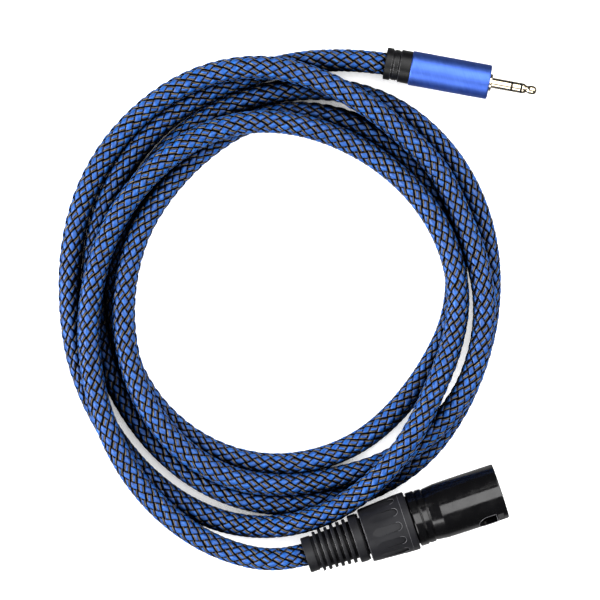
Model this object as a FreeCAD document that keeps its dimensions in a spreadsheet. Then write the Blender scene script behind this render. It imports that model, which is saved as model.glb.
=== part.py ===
import FreeCAD, Part
import Sketcher
import math
import os

# An audio adapter lead: five loose turns of a round braided cable, with a male
# three-pin connector on one end and a 3.5 mm three-pole plug on the other.
# Millimetres. +Z is up, the coil lies on z = 0, and +X is the way in which the
# three-pin connector points. The origin is the middle of the lead's footprint.

V = FreeCAD.Vector
doc = FreeCAD.newDocument("xlr_cable_coil")
sheet = doc.addObject("Spreadsheet::Sheet", "Params")

# ---------------------------------------------------------------- dimensions
# Stations along a connector are measured from a point 10 mm behind its rear
# face, so every station is positive.
DIMS = [
    # cable and where the connectors lie
    ("cable_r", 3.5), ("xlr_rear_x", -34.4), ("xlr_axis_y", -78.9), ("xlr_axis_z", 10.1),
    ("plug_rear_x", 43.7), ("plug_rear_y", 70.5), ("plug_axis_z", 5.85), ("plug_heading", -28.8),
    ("behind", 10.0),
    # coil
    ("coil_top", 13.4), ("coil_round", 3.4), ("hump_top", 18.3),
    # boot
    ("boot_a", 10.0), ("boot_sleeve_r", 6.1), ("boot_ring_a", 27.2), ("boot_ring_b", 30.8),
    ("boot_ring_r", 8.3), ("boot_tube_r", 6.4), ("boot_b", 37.0), ("boot_bore_r", 3.9), ("boot_bell_r", 5.0),
    # nut
    ("nut_a", 31.2), ("nut_b", 47.8), ("nut_rear_r", 9.2), ("nut_front_r", 10.1),
    ("thread_r", 8.4), ("thread_b", 53.8), ("thread_bore_r", 7.4), ("nut_cone_r", 5.3), ("nut_cone_a", 38.5),
    ("nut_cone_b", 46.5), ("nut_bore_r", 6.5), ("grip_half", 1.45), ("grip_flat_a", 33.5), ("grip_flat_b", 42.6),
    ("grip_level", 9.4), ("grip_count", 12.0),
    # shell
    ("shell_a", 48.2), ("ring_one_b", 51.1), ("ring_two_a", 51.5), ("ring_two_b", 53.6), ("barrel_a", 54.0),
    ("ring_r", 9.4), ("barrel_rear_r", 8.98), ("barrel_r", 9.5), ("barrel_full", 64.0), ("mouth", 79.4),
    ("counterbore_r", 8.45), ("cavity_r", 8.1), ("cavity_step", 60.0), ("rim_r", 8.35),
    ("window_beta", 65.0), ("window_half", 3.3), ("window_a", 68.9), ("window_b", 75.3),
    ("pocket_a", 75.75), ("pocket_b", 77.8), ("pocket_level", 9.1),
    ("key_beta", -21.4), ("key_level", 8.8), ("key_half", 0.5), ("key_a", 51.6), ("key_b", 56.4),
    # insert, contacts, chuck
    ("insert_a", 57.5), ("insert_b", 65.9), ("insert_flange_r", 8.4), ("insert_r", 8.05),
    ("pin_r", 1.2), ("pin_rear_r", 0.95), ("pin_circle", 4.76), ("pin_a", 53.5), ("pin_b", 77.5), ("cup_r", 0.6), ("cup_deep", 2.2),
    ("ground_beta", 20.0), ("hot_beta", 110.0), ("cold_beta", 245.0),
    ("chuck_a", 39.0), ("chuck_cone_r", 4.9), ("chuck_r", 7.0), ("chuck_cone_b", 47.0), ("skirt_r", 7.2),
    ("skirt_bore_r", 6.4), ("skirt_a", 50.0), ("slit", 0.8), ("jacket_b", 48.0), ("core_r", 0.6),
    # plug
    ("collar_a", 10.0), ("collar_flange_b", 12.3), ("collar_flange_r", 5.45), ("collar_neck_r", 4.98),
    ("collar_rib_a", 12.9), ("collar_rib_b", 14.5), ("collar_rib_r", 5.2), ("collar_body_a", 14.95),
    ("collar_body_r", 5.55), ("collar_b", 18.66), ("collar_spigot_r", 4.55), ("collar_spigot_b", 21.5),
    ("collar_bore_r", 3.9), ("collar_bell_r", 4.6),
    ("tube_b", 45.86), ("tube_r", 5.85), ("tube_bore_r", 5.0), ("tube_bore_b", 40.5), ("tube_thread_r", 2.65),
    ("liner_a", 23.0), ("liner_b", 40.5), ("liner_r", 5.0), ("liner_bore_r", 4.6),
    ("body_thread_r", 2.6), ("body_thread_a", 41.0), ("body_flange_b", 46.7), ("body_flange_r", 2.9),
    ("shaft_r", 1.75), ("shaft_b", 53.15), ("shaft_bore_r", 1.25), ("clamp_a", 22.0), ("clamp_b", 26.0), ("clamp_r", 4.3),
    ("ring_a", 53.85), ("ring_b", 56.475), ("ring_tube_a", 38.0), ("ring_tube_r", 1.0), ("ring_bore_r", 0.7),
    ("tip_a", 57.125), ("tip_b", 62.16), ("tip_rod_a", 35.0), ("tip_rod_r", 0.5), ("stub_b", 26.0),
]
DIM = dict(DIMS)
for i, (name, value) in enumerate(DIMS):
    sheet.set("A%d" % (i + 1), name)
    sheet.set("B%d" % (i + 1), repr(value))
    sheet.setAlias("B%d" % (i + 1), name)
doc.recompute()


def val(c):
    """A size: an alias, (alias, offset) or (alias, factor, offset)."""
    if isinstance(c, str):
        return DIM[c]
    if len(c) == 2:
        return DIM[c[0]] + c[1]
    return DIM[c[0]] * c[1] + c[2]


def expr(c):
    if isinstance(c, str):
        return "Params.%s" % c
    if len(c) == 2:
        return "Params.%s + (%r)" % c
    return "Params.%s * (%r) + (%r)" % c


def plane(body, role):
    return [f for f in body.Origin.OriginFeatures if f.Role == role][0]


def polygon_sketch(body, name, points, role="XZ_Plane"):
    """Closed polygon whose corners are tied to the sheet."""
    sk = body.newObject("Sketcher::SketchObject", name)
    sk.AttachmentSupport = [(plane(body, role), "")]
    sk.MapMode = "FlatFace"
    xy = []
    for a, b in points:
        xy.append((0.0 if a is None else val(a), val(b)))
    n = len(xy)
    for i in range(n):
        p, q = xy[i], xy[(i + 1) % n]
        sk.addGeometry(Part.LineSegment(V(p[0], p[1], 0), V(q[0], q[1], 0)), False)
    cons = [Sketcher.Constraint("Coincident", i, 2, (i + 1) % n, 1) for i in range(n)]
    sk.addConstraint(cons)
    for i, (a, b) in enumerate(points):
        if a is None:
            sk.addConstraint(Sketcher.Constraint("PointOnObject", i, 1, -2))
        else:
            k = sk.addConstraint(Sketcher.Constraint("DistanceX", -1, 1, i, 1, xy[i][0]))
            sk.setExpression("Constraints[%d]" % k, expr(a))
        k = sk.addConstraint(Sketcher.Constraint("DistanceY", -1, 1, i, 1, xy[i][1]))
        sk.setExpression("Constraints[%d]" % k, expr(b))
    return sk


def turned(name, points):
    """A turned piece: (radius, station) corners revolved about the local Z axis."""
    body = doc.addObject("PartDesign::Body", name)
    body.Label = name
    sk = polygon_sketch(body, name + "_profile", points)
    rev = body.newObject("PartDesign::Revolution", name + "_turn")
    rev.Profile = sk
    rev.ReferenceAxis = (sk, ["V_Axis"])
    rev.Angle = 360.0
    body.Tip = rev
    doc.recompute()
    return body


def side_pocket(body, name, beta, level, outline, depth, width_only=None):
    """Pocket cut outwards from a flat that stands `level` off the axis, at the
    angle beta about it. outline is a list of edges made by outline(dims)."""
    sk = body.newObject("Sketcher::SketchObject", name)
    sk.AttachmentSupport = [(plane(body, "XZ_Plane"), "")]
    sk.MapMode = "FlatFace"
    rot = FreeCAD.Rotation(V(0, 1, 0), beta + 90.0)
    sk.AttachmentOffset = FreeCAD.Placement(rot.multVec(V(0, 0, level)), rot)
    for e in outline:
        sk.addGeometry(e, False)
    n = len(outline)
    for i in range(n):
        sk.addConstraint(Sketcher.Constraint("Coincident", i, 2, (i + 1) % n, 1))
    before = body.Tip.Shape.Volume
    pk = body.newObject("PartDesign::Pocket", name + "_cut")
    pk.Profile = sk
    pk.Type = 0
    pk.Length = depth
    pk.Reversed = True
    body.Tip = pk
    doc.recompute()
    if not pk.Shape.Volume < before - 1e-3:
        raise RuntimeError(name + " cuts nothing")
    return sk, pk


def arch(half, z0, z1, cap):
    """Outline with straight sides from z0 to z1 and a round end of height cap
    at z1, drawn anticlockwise."""
    r = (half * half + cap * cap) / (2.0 * cap)
    c = z1 + cap - r
    a = math.asin(min(1.0, half / r))
    if cap > half:
        a = math.pi - a
    arc = Part.ArcOfCircle(Part.Circle(V(0, c, 0), V(0, 0, 1), r), math.pi / 2 - a, math.pi / 2 + a)
    return [Part.LineSegment(V(-half, z0, 0), V(half, z0, 0)), Part.LineSegment(V(half, z0, 0), V(half, z1, 0)),
            arc, Part.LineSegment(V(-half, z1, 0), V(-half, z0, 0))]


def arch_down(half, z0, z1):
    """A D: flat at z1, straight sides, round end towards smaller z."""
    c = z0 + half
    arc = Part.ArcOfCircle(Part.Circle(V(0, c, 0), V(0, 0, 1), half), math.pi, 2 * math.pi)
    return [arc, Part.LineSegment(V(half, c, 0), V(half, z1, 0)),
            Part.LineSegment(V(half, z1, 0), V(-half, z1, 0)), Part.LineSegment(V(-half, z1, 0), V(-half, c, 0))]


def stadium(half, z0, z1):
    """A slot with round ends from z0 to z1."""
    low = Part.ArcOfCircle(Part.Circle(V(0, z0 + half, 0), V(0, 0, 1), half), math.pi, 2 * math.pi)
    high = Part.ArcOfCircle(Part.Circle(V(0, z1 - half, 0), V(0, 0, 1), half), 0.0, math.pi)
    return [low, Part.LineSegment(V(half, z0 + half, 0), V(half, z1 - half, 0)),
            high, Part.LineSegment(V(-half, z1 - half, 0), V(-half, z0 + half, 0))]


def rect(half, z0, z1):
    return [Part.LineSegment(V(-half, z0, 0), V(half, z0, 0)), Part.LineSegment(V(half, z0, 0), V(half, z1, 0)),
            Part.LineSegment(V(half, z1, 0), V(-half, z1, 0)), Part.LineSegment(V(-half, z1, 0), V(-half, z0, 0))]


# ---------------------------------------------------------------- placements
xlr_place = FreeCAD.Placement(V(DIM["xlr_rear_x"] - DIM["behind"], DIM["xlr_axis_y"], DIM["xlr_axis_z"]),
                              FreeCAD.Rotation(V(0, 0, 1), V(0, -1, 0), V(1, 0, 0), "ZXY"))
_h = math.radians(DIM["plug_heading"])
plug_dir = V(math.cos(_h), math.sin(_h), 0)
plug_place = FreeCAD.Placement(V(DIM["plug_rear_x"], DIM["plug_rear_y"], DIM["plug_axis_z"]) - plug_dir * DIM["behind"],
                               FreeCAD.Rotation(V(0, 0, 1), V(math.sin(_h), -math.cos(_h), 0), plug_dir, "ZXY"))

parts = []


def keep(obj, place, node):
    obj.Placement = place
    obj.Label = node
    parts.append((node, obj))


# ---------------------------------------------------------------- rubber boot
# Rings of growing radius from the cable end forwards, each station being
# (start, end, radius) behind the wide ring, with narrow gaps between them.
ribs = [(4.3, 5.3, 6.9), (6.3, 7.5, 7.1), (8.5, 9.6, 7.1), (10.6, 11.8, 7.4), (12.8, 14.0, 7.5), (15.0, 16.2, 7.7)]
floors = [5.7, 5.9, 6.0, 6.1, 6.2, 6.3, 6.5]
prof = [("boot_bell_r", "boot_a"), (("boot_sleeve_r", -0.25), "boot_a"), ("boot_sleeve_r", ("boot_a", 0.25)),
        ("boot_sleeve_r", ("boot_a", 3.1)), (("boot_sleeve_r", -0.2), ("boot_a", 3.3))]
last = 3.3
for (a, b, r), f in zip(ribs, floors):
    prof += [(("boot_sleeve_r", f - 6.1), ("boot_a", last)), (("boot_sleeve_r", f - 6.1), ("boot_a", a)),
             (("boot_sleeve_r", r - 6.1 - 0.25), ("boot_a", a)), (("boot_sleeve_r", r - 6.1), ("boot_a", a + 0.25)),
             (("boot_sleeve_r", r - 6.1), ("boot_a", b - 0.25)), (("boot_sleeve_r", r - 6.1 - 0.25), ("boot_a", b))]
    last = b
prof += [(("boot_sleeve_r", floors[6] - 6.1), ("boot_a", last)), (("boot_sleeve_r", floors[6] - 6.1), "boot_ring_a"),
         (("boot_ring_r", -0.35), "boot_ring_a"), ("boot_ring_r", ("boot_ring_a", 0.35)),
         ("boot_ring_r", ("boot_ring_b", -0.7)), (("boot_ring_r", -0.3), ("boot_ring_b", -0.6)),
         (("boot_ring_r", -0.3), ("boot_ring_b", -0.4)), (("boot_ring_r", -0.1), ("boot_ring_b", -0.3)),
         (("boot_ring_r", -0.3), "boot_ring_b"), ("boot_tube_r", "boot_ring_b"),
         ("boot_tube_r", "boot_b"), ("boot_bore_r", "boot_b"), ("boot_bore_r", ("boot_a", 5.0)),
         (("boot_bore_r", 0.35), ("boot_a", 2.2))]
keep(turned("xlr_boot", prof), xlr_place, "xlr_boot")

# ---------------------------------------------------------------- clamping nut
nut = turned("xlr_nut", [
    ("nut_bore_r", "nut_a"), (("nut_rear_r", -0.4), "nut_a"), ("nut_rear_r", ("nut_a", 0.4)),
    (("nut_rear_r", 0.15), ("nut_a", 2.0)), (("nut_rear_r", 0.55), ("nut_a", 8.0)),
    (("nut_front_r", -0.1), ("nut_b", -4.0)), ("nut_front_r", ("nut_b", -2.4)), ("nut_front_r", ("nut_b", -0.45)),
    (("nut_front_r", -0.12), ("nut_b", -0.15)), (("nut_front_r", -0.45), "nut_b"),
    ("thread_r", "nut_b"), ("thread_r", ("thread_b", -0.4)), (("thread_r", -0.4), "thread_b"),
    ("thread_bore_r", "thread_b"), ("thread_bore_r", "nut_cone_b"), ("nut_cone_r", "nut_cone_a"),
    ("nut_cone_r", ("nut_cone_a", -0.4)), ("nut_bore_r", ("nut_cone_a", -0.45))])
gsk, gcut = side_pocket(nut, "xlr_nut_grip", 0.0, DIM["grip_level"],
                        arch(DIM["grip_half"], DIM["grip_flat_a"], DIM["grip_flat_b"], DIM["grip_half"]), 3.0)
pat = nut.newObject("PartDesign::PolarPattern", "xlr_nut_grips")
pat.Originals = [gcut]
pat.Axis = (plane(nut, "Z_Axis"), [""])
pat.Angle = 360.0
pat.Occurrences = int(DIM["grip_count"])
nut.Tip = pat
doc.recompute()
keep(nut, xlr_place, "xlr_nut")

# ---------------------------------------------------------------- shell
shell = turned("xlr_shell", [
    ("counterbore_r", "shell_a"), (("ring_r", -0.3), "shell_a"), (("ring_r", -0.08), ("shell_a", 0.12)),
    ("ring_r", ("shell_a", 0.4)), ("ring_r", ("ring_one_b", -0.15)), (("ring_r", -0.25), "ring_one_b"),
    (("ring_r", -0.4), ("ring_one_b", 0.1)), (("ring_r", -0.4), ("ring_two_a", -0.1)),
    (("ring_r", -0.3), "ring_two_a"), (("ring_r", -0.15), ("ring_two_a", 0.15)),
    (("ring_r", -0.15), ("ring_two_b", -0.15)), (("ring_r", -0.35), "ring_two_b"),
    (("ring_r", -0.6), ("ring_two_b", 0.08)), (("ring_r", -0.6), "barrel_a"), ("barrel_rear_r", ("barrel_a", 0.15)),
    (("barrel_r", -0.07), ("barrel_full", -6.0)), ("barrel_r", "barrel_full"), ("barrel_r", ("mouth", -0.35)),
    (("barrel_r", -0.1), ("mouth", -0.1)), (("barrel_r", -0.35), "mouth"), (("rim_r", 0.25), "mouth"),
    ("rim_r", ("mouth", -0.25)), ("cavity_r", ("mouth", -0.6)), ("cavity_r", "cavity_step"),
    ("counterbore_r", "cavity_step")])
side_pocket(shell, "xlr_shell_window", DIM["window_beta"], 0.0,
            arch_down(DIM["window_half"], DIM["window_a"], DIM["window_b"]), 12.0)
side_pocket(shell, "xlr_shell_pocket", DIM["window_beta"], DIM["pocket_level"],
            rect(DIM["window_half"] - 0.3, DIM["pocket_a"], DIM["pocket_b"]), 3.0)
side_pocket(shell, "xlr_shell_key", DIM["key_beta"], DIM["key_level"],
            stadium(DIM["key_half"], DIM["key_a"], DIM["key_b"]), 3.0)
keep(shell, xlr_place, "xlr_shell")

# ---------------------------------------------------------------- insert
insert = turned("xlr_insert", [
    (None, "insert_a"), (("insert_flange_r", -0.2), "insert_a"), ("insert_flange_r", ("insert_a", 0.2)),
    ("insert_flange_r", "cavity_step"), ("insert_r", "cavity_step"), ("insert_r", ("insert_b", -0.3)),
    (("insert_r", -0.3), "insert_b"), (None, "insert_b")])
sk = insert.newObject("Sketcher::SketchObject", "xlr_insert_holes")
sk.AttachmentSupport = [(plane(insert, "XY_Plane"), "")]
sk.MapMode = "FlatFace"
for i, key in enumerate(("ground_beta", "hot_beta", "cold_beta")):
    a = math.radians(DIM[key])
    x, y = DIM["pin_circle"] * math.cos(a), DIM["pin_circle"] * math.sin(a)
    sk.addGeometry(Part.Circle(V(x, y, 0), V(0, 0, 1), DIM["pin_rear_r"]), False)
    k = sk.addConstraint(Sketcher.Constraint("Radius", i, DIM["pin_rear_r"]))
    sk.setExpression("Constraints[%d]" % k, "Params.pin_rear_r")
    for kind, v, fn in (("DistanceX", x, "cos"), ("DistanceY", y, "sin")):
        first, second = ((-1, 1, i, 3), 1) if v > 0 else ((i, 3, -1, 1), -1)
        k = sk.addConstraint(Sketcher.Constraint(kind, first[0], first[1], first[2], first[3], abs(v)))
        sk.setExpression("Constraints[%d]" % k, "%d * Params.pin_circle * %s(Params.%s * 1deg)" % (second, fn, key))
before = insert.Tip.Shape.Volume
pk = insert.newObject("PartDesign::Pocket", "xlr_insert_bore")
pk.Profile = sk
pk.Type = 1
pk.Midplane = False
pk.Reversed = True
insert.Tip = pk
doc.recompute()
if not pk.Shape.Volume < before - 50:
    raise RuntimeError("insert bores cut nothing: %r" % (before - pk.Shape.Volume))
keep(insert, xlr_place, "xlr_insert")

# ---------------------------------------------------------------- contact pins
for node, key in (("xlr_pin_ground", "ground_beta"), ("xlr_pin_hot", "hot_beta"), ("xlr_pin_cold", "cold_beta")):
    pin = turned(node, [
        ("cup_r", "pin_a"), ("pin_rear_r", "pin_a"), ("pin_rear_r", "insert_b"), ("pin_r", "insert_b"),
        ("pin_r", ("pin_b", -0.9)), (("pin_r", -0.12), ("pin_b", -0.5)),
        (("pin_r", -0.4), ("pin_b", -0.18)), (("pin_r", -0.8), ("pin_b", -0.03)), (None, "pin_b"),
        (None, ("pin_a", 2.2)), ("cup_r", ("pin_a", 2.2))])
    a = math.radians(DIM[key])
    off = FreeCAD.Placement(V(DIM["pin_circle"] * math.cos(a), DIM["pin_circle"] * math.sin(a), 0), FreeCAD.Rotation())
    keep(pin, xlr_place.multiply(off), node)

# ---------------------------------------------------------------- chuck
chuck = turned("xlr_chuck", [
    ("cable_r", "chuck_a"), (("chuck_cone_r", -0.3), "chuck_a"), ("chuck_cone_r", ("chuck_a", 0.4)),
    ("chuck_r", "chuck_cone_b"), ("chuck_r", "skirt_a"), ("skirt_r", "skirt_a"), ("skirt_r", "insert_a"),
    ("skirt_bore_r", "insert_a"), ("skirt_bore_r", ("skirt_a", 0.6)), ("cable_r", "jacket_b")])
sk = polygon_sketch(chuck, "xlr_chuck_slit", [
    ("slit", ("chuck_a", -1.0)), ("slit", "nut_cone_b"), (("slit", 0.5, 0.0), "nut_cone_b"),
    (("slit", 0.5, 0.0), ("chuck_a", -1.0))])
# the slit is drawn as a narrow strip beside the axis, cut through one wall
before = chuck.Tip.Shape.Volume
pk = chuck.newObject("PartDesign::Pocket", "xlr_chuck_slot")
pk.Profile = sk
pk.Type = 1
pk.Midplane = False
chuck.Tip = pk
doc.recompute()
if not pk.Shape.Volume < before - 1:
    raise RuntimeError("chuck slot cuts nothing")
pat = chuck.newObject("PartDesign::PolarPattern", "xlr_chuck_slots")
pat.Originals = [pk]
pat.Axis = (plane(chuck, "Z_Axis"), [""])
pat.Angle = 360.0
pat.Occurrences = 3
chuck.Tip = pat
doc.recompute()
keep(chuck, xlr_place, "xlr_chuck")

# ---------------------------------------------------------------- plug
keep(turned("plug_collar", [
    ("collar_bell_r", "collar_a"), (("collar_flange_r", -0.2), "collar_a"), ("collar_flange_r", ("collar_a", 0.2)),
    ("collar_flange_r", ("collar_flange_b", -0.2)), (("collar_flange_r", -0.2), "collar_flange_b"),
    ("collar_neck_r", "collar_flange_b"), ("collar_neck_r", "collar_rib_a"),
    (("collar_rib_r", -0.15), "collar_rib_a"), ("collar_rib_r", ("collar_rib_a", 0.15)),
    ("collar_rib_r", ("collar_rib_b", -0.15)), (("collar_rib_r", -0.15), "collar_rib_b"),
    ("collar_neck_r", "collar_rib_b"), ("collar_neck_r", "collar_body_a"),
    (("collar_body_r", -0.2), "collar_body_a"), ("collar_body_r", ("collar_body_a", 0.2)),
    ("collar_body_r", "collar_b"), ("collar_spigot_r", "collar_b"), ("collar_spigot_r", "collar_spigot_b"),
    ("collar_bore_r", "collar_spigot_b"), ("collar_bore_r", ("collar_a", 2.6)),
    (("collar_bore_r", 0.2), ("collar_a", 1.0))]), plug_place, "plug_collar")

keep(turned("plug_barrel", [
    (("collar_spigot_r", 0.05), ("collar_b", 0.05)), (("tube_r", -0.35), ("collar_b", 0.05)),
    (("tube_r", -0.1), ("collar_b", 0.18)),
    ("tube_r", ("collar_b", 0.45)), ("tube_r", ("tube_b", -0.45)), (("tube_r", -0.12), ("tube_b", -0.14)),
    (("tube_r", -0.45), "tube_b"),
    (("tube_thread_r", 0.1), "tube_b"), ("tube_thread_r", ("tube_b", -0.1)), ("tube_thread_r", ("body_thread_a", -0.2)),
    ("tube_thread_r", "tube_bore_b"), ("tube_bore_r", "tube_bore_b"), ("tube_bore_r", ("collar_spigot_b", 0.3)),
    (("collar_spigot_r", 0.05), ("collar_spigot_b", 0.3))]), plug_place, "plug_barrel")

keep(turned("plug_liner", [
    ("liner_bore_r", "liner_a"), ("liner_r", "liner_a"), ("liner_r", "liner_b"), ("liner_bore_r", "liner_b")]),
    plug_place, "plug_liner")

# plug body: thread, flange and hollow shaft, with a cable clamp on a tail
body_turn = turned("plug_sleeve_turned", [
    ("shaft_bore_r", "body_thread_a"), ("body_thread_r", "body_thread_a"), ("body_thread_r", "tube_b"),
    ("body_flange_r", "tube_b"), ("body_flange_r", ("body_flange_b", -0.2)),
    (("body_flange_r", -0.2), "body_flange_b"), ("shaft_r", "body_flange_b"), ("shaft_r", "shaft_b"),
    ("shaft_bore_r", "shaft_b")])
clamp_out = doc.addObject("Part::Cylinder", "plug_clamp_outer")
clamp_in = doc.addObject("Part::Cylinder", "plug_clamp_hole")
for o, r, extra in ((clamp_out, "clamp_r", 0.0), (clamp_in, "cable_r", 1.0)):
    o.setExpression("Radius", "Params.%s" % r)
    o.setExpression("Height", "Params.clamp_b - Params.clamp_a + %r" % (2 * extra))
    o.setExpression("Placement.Base.z", "Params.clamp_a - %r" % extra)
# the tail runs back beside the axis and steps out to the clamp
rise = doc.addObject("Part::Box", "plug_clamp_rise")
rise.Length = 2.8
rise.Width = 1.6
rise.Height = 1.0
rise.setExpression("Placement.Base.z", "Params.clamp_b")
rise.Placement.Base.x = 1.45
rise.Placement.Base.y = -0.8
ring_clamp = doc.addObject("Part::Cut", "plug_clamp_ring")
ring_clamp.Base, ring_clamp.Tool = clamp_out, clamp_in
doc.recompute()
ridge = doc.addObject("Part::Box", "plug_clamp_bridge")
ridge.setExpression("Height", "Params.body_thread_a - Params.clamp_b - 0.2")
ridge.setExpression("Placement.Base.z", "Params.clamp_b + 0.4")
ridge.Length = 1.0
ridge.Width = 1.6
ridge.Placement.Base.x = 1.45
ridge.Placement.Base.y = -0.8
doc.recompute()
sleeve = doc.addObject("Part::MultiFuse", "plug_sleeve")
sleeve.Shapes = [body_turn, ring_clamp, rise, ridge]
doc.recompute()
keep(sleeve, plug_place, "plug_sleeve")

keep(turned("plug_ring", [
    ("ring_bore_r", "ring_tube_a"), ("ring_tube_r", "ring_tube_a"), ("ring_tube_r", "ring_a"), ("shaft_r", "ring_a"),
    ("shaft_r", "ring_b"), ("ring_bore_r", "ring_b")]), plug_place, "plug_ring")
keep(turned("plug_insulator_rear", [
    ("ring_tube_r", ("ring_tube_a", 1.5)), ("shaft_bore_r", ("ring_tube_a", 1.5)), ("shaft_bore_r", "shaft_b"),
    (("shaft_r", -0.02), "shaft_b"), (("shaft_r", -0.02), "ring_a"), ("ring_tube_r", "ring_a")]),
    plug_place, "plug_insulator_rear")
keep(turned("plug_insulator_front", [
    ("tip_rod_r", ("ring_tube_a", -1.5)), ("ring_bore_r", ("ring_tube_a", -1.5)), ("ring_bore_r", "ring_b"),
    (("shaft_r", -0.02), "ring_b"), (("shaft_r", -0.02), "tip_a"), ("tip_rod_r", "tip_a")]),
    plug_place, "plug_insulator_front")
keep(turned("plug_tip", [
    (None, "tip_rod_a"), ("tip_rod_r", "tip_rod_a"), ("tip_rod_r", "tip_a"), ("shaft_r", "tip_a"),
    ("shaft_r", ("tip_a", 0.45)), (("shaft_r", -0.12), ("tip_a", 0.75)), (("shaft_r", -0.45), ("tip_a", 1.25)),
    (("shaft_r", -0.6), ("tip_a", 1.6)), (("shaft_r", -0.57), ("tip_a", 1.85)), (("shaft_r", -0.38), ("tip_a", 2.25)),
    (("shaft_r", -0.25), ("tip_a", 2.7)), (("shaft_r", -0.24), ("tip_b", -1.3)), (("shaft_r", -0.42), ("tip_b", -0.75)),
    (("shaft_r", -0.75), ("tip_b", -0.35)), (("shaft_r", -1.2), ("tip_b", -0.08)), (None, "tip_b")]),
    plug_place, "plug_tip")


# ---------------------------------------------------------------- cord
# The cable's line from the three-pin connector, round the coil and to the
# plug. Each point is a corner of a control polygon, x, y, z of the centre.
ROUTE = [
    (-24.4, -78.9, 10.1), (-35.5, -78.9, 10.1), (-49.1, -76, 8.9), (-63.3, -66.1, 7.2),
    (-73.9, -52.8, 8), (-81, -37.3, 9.6), (-84.4, -20.7, 10.2), (-84.5, -3.7, 9.8),
    (-81.3, 12.9, 9.4), (-75, 28.7, 10.3), (-65.6, 42.8, 9.5), (-53.3, 54.5, 10),
    (-38.6, 62.9, 10), (-22.1, 67.4, 9.5), (-5.2, 66.3, 10.2), (10.6, 59.6, 9.3),
    (24.1, 49, 6.5), (34.5, 36.2, 6.7), (41.9, 20.7, 9.2), (44.8, 3.9, 10),
    (42.6, -13, 10.1), (34.6, -28, 9.8), (23.6, -41.1, 13.4), (11.6, -52.8, 15.1),
    (-2.7, -62.1, 14.3), (-18.8, -67.7, 10.8), (-35.7, -68.2, 8), (-52.2, -63.2, 4.3),
    (-65.7, -53.2, 3.5), (-76.1, -39.6, 3.6), (-83, -24.1, 3.5), (-86.3, -7.5, 3.5),
    (-86.4, 9.5, 3.5), (-83.7, 26.2, 3.5), (-78.2, 42.2, 3.5), (-69.8, 57, 3.5),
    (-58.3, 69.5, 3.5), (-44.2, 78.8, 4), (-28.2, 84.6, 6.7), (-11.2, 86, 9),
    (5.4, 82.3, 10.2), (19.8, 73.3, 9.8), (31.9, 61, 10.2), (41.2, 47.4, 8.7),
    (49.5, 31.8, 7.3), (51.5, 15.6, 7.6), (52.4, -1.8, 9), (50.1, -18.1, 10),
    (42.5, -33.8, 10.1), (31.2, -46.3, 10.1), (16.2, -54.4, 9.3), (-0.5, -57.8, 7.4),
    (-17.7, -57.6, 3.9), (-34.1, -54.6, 5.4), (-49.4, -47.3, 7.2), (-61.3, -34.8, 8.4),
    (-68.5, -19.4, 9.8), (-70.7, -2.5, 10.1), (-68.4, 14.3, 9.9), (-62.2, 30.1, 9),
    (-52.4, 44.1, 7.6), (-39.1, 54.7, 4.4), (-24.2, 62.4, 3.5), (-7.6, 66.9, 3.6),
    (9.3, 65, 3.5), (24.6, 57.2, 3.5), (36.7, 45.2, 3.5), (44.2, 29.9, 3.5),
    (46.8, 13.1, 3.5), (44.8, -3.8, 3.5), (37.8, -19.4, 3.5), (26.2, -31.7, 3.5),
    (12.3, -41.6, 3.5), (-3.2, -48.5, 3.5), (-20.2, -50.1, 3.5), (-36.9, -46.6, 3.5),
    (-51.4, -37.8, 3.5), (-62.6, -24.8, 3.5), (-69.3, -9.2, 3.5), (-71, 7.7, 3.5),
    (-68.4, 24.5, 3.5), (-61.9, 40.2, 3.5), (-51.9, 54, 3.5), (-38.7, 64.6, 3.5),
    (-23, 71.4, 3.5), (-6.3, 74.1, 3.5), (10.7, 72.6, 3.5), (26.5, 66.5, 3.5),
    (40.1, 56.2, 3.5), (50.4, 42.7, 3.5), (56.8, 26.9, 3.5), (58.3, 9.9, 3.5),
    (55.7, -6.8, 3.5), (49.6, -22.7, 3.5), (40.5, -36.9, 3.5), (29, -49.5, 3.5),
    (15.2, -59.3, 3.5), (-1.1, -64.5, 3.5), (-18, -65.1, 3.5), (-34.7, -61.6, 3.5),
    (-49.9, -53.9, 3.5), (-62.2, -42.1, 3.5), (-70.9, -27.6, 3.5), (-76.2, -11.4, 3.5),
    (-78.1, 5.4, 3.5), (-76.5, 22.3, 3.5), (-71.4, 38.5, 3.5), (-62.9, 53.2, 3.5),
    (-51.2, 65.5, 3.5), (-36.8, 74.7, 3.5), (-20.7, 79.9, 3.5), (-3.8, 81.4, 3.6),
    (13.1, 80.2, 3.6), (29.6, 76.4, 4.4), (44.14, 70.26, 5.85), (52.46, 65.68, 5.85),
]
N = len(ROUTE)


def tube_path(pts, say):
    """Straight runs joined by tangent arcs; returns a wire and its length."""
    p = [V(*q) for q in pts]
    runs = [(p[i + 1] - p[i]).Length for i in range(len(p) - 1)]
    edges, here, radii = [], p[0], []
    for i in range(1, len(p) - 1):
        a, b = (p[i - 1] - p[i]).normalize(), (p[i + 1] - p[i]).normalize()
        turn = math.pi - a.getAngle(b)
        back = 0.45 * min(runs[i - 1], runs[i])
        radius = back / math.tan(turn / 2.0)
        start, end = p[i] + a * back, p[i] + b * back
        bis = (a + b).normalize()
        mid = p[i] + bis * (radius / math.cos(turn / 2.0) - radius)
        edges.append(Part.LineSegment(here, start).toShape())
        edges.append(Part.Arc(start, mid, end).toShape())
        here = end
        radii.append(radius)
    edges.append(Part.LineSegment(here, p[-1]).toShape())
    wire = Part.Wire(edges)
    if say:
        print(say, "length %.2f" % wire.Length, "radii", ["%.1f" % r for r in radii])
    return wire, p[0], (p[1] - p[0])


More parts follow.
